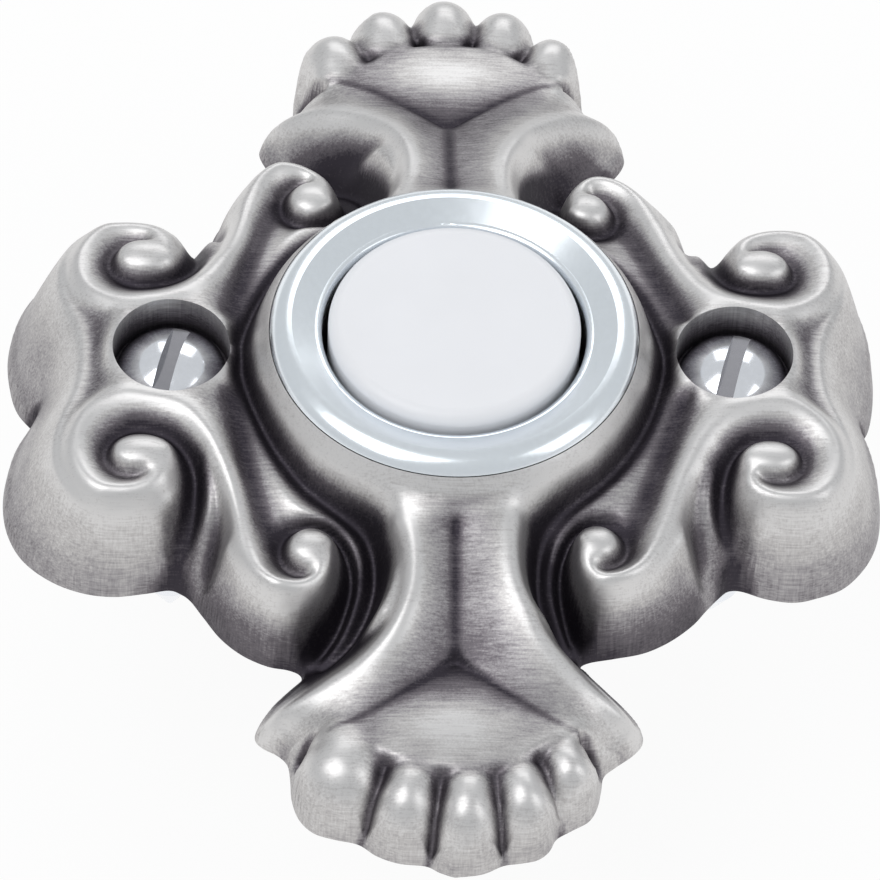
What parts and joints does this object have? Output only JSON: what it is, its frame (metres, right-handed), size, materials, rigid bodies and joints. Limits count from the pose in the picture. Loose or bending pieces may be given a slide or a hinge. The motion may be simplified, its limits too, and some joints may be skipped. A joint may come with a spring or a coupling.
{
  "type": "doorbell push button",
  "caption": "Round spring-return push button in a chrome rim, on a cast plate of scrolls with lobed ends, fixed to a wall by slotted screws.",
  "frame": {"origin": "on the push button's axis, at the plate's back face, which lies on the wall", "axes": "+Z out of the wall along the button's axis, +Y up the wall along the plate's length, +X to the right of someone facing it"},
  "size_m": [0.061, 0.0746, 0.0322],
  "materials": {
    "pewter": "brushed antique pewter, dark in the recesses",
    "rim_chrome": "polished chrome",
    "screw_chrome": "polished",
    "cap_plastic": "semi-gloss white",
    "stem_plastic": "natural moulded",
    "housing_plastic": "moulded",
    "zinc_steel": "zinc plated",
    "spring_steel": "bright wire",
    "brass": "plain"
  },
  "bodies": {
    "root": {"cast_plate": "pewter", "chrome_rim": "rim_chrome", "housing": "housing_plastic", "guide_cup": "housing_plastic", "spring_washer": "zinc_steel", "return_spring": "spring_steel", "contact_base": "housing_plastic", "fixed_contact_left": "brass", "fixed_contact_right": "brass", "terminal_washer_left": "zinc_steel", "terminal_washer_right": "zinc_steel", "terminal_screw_left": "brass", "terminal_screw_right": "brass", "base_screw_upper": "zinc_steel", "base_screw_lower": "zinc_steel", "snap_ring": "spring_steel", "lock_washer": "zinc_steel", "retaining_nut": "brass", "fixing_screw_left": "screw_chrome", "fixing_screw_right": "screw_chrome"},
    "button": {"button_cap": "cap_plastic", "plunger_stem": "stem_plastic", "moving_contact": "brass", "stem_clip": "spring_steel"}
  },
  "joints": [
    {"name": "button_press", "type": "slide", "parent": "root", "child": "button", "axis": [0, 0, -1], "range_m": [0, 0.0015], "stiffness_N_per_m": 400, "springref_m": -0.004, "deforming": ["return_spring"]}
  ]
}
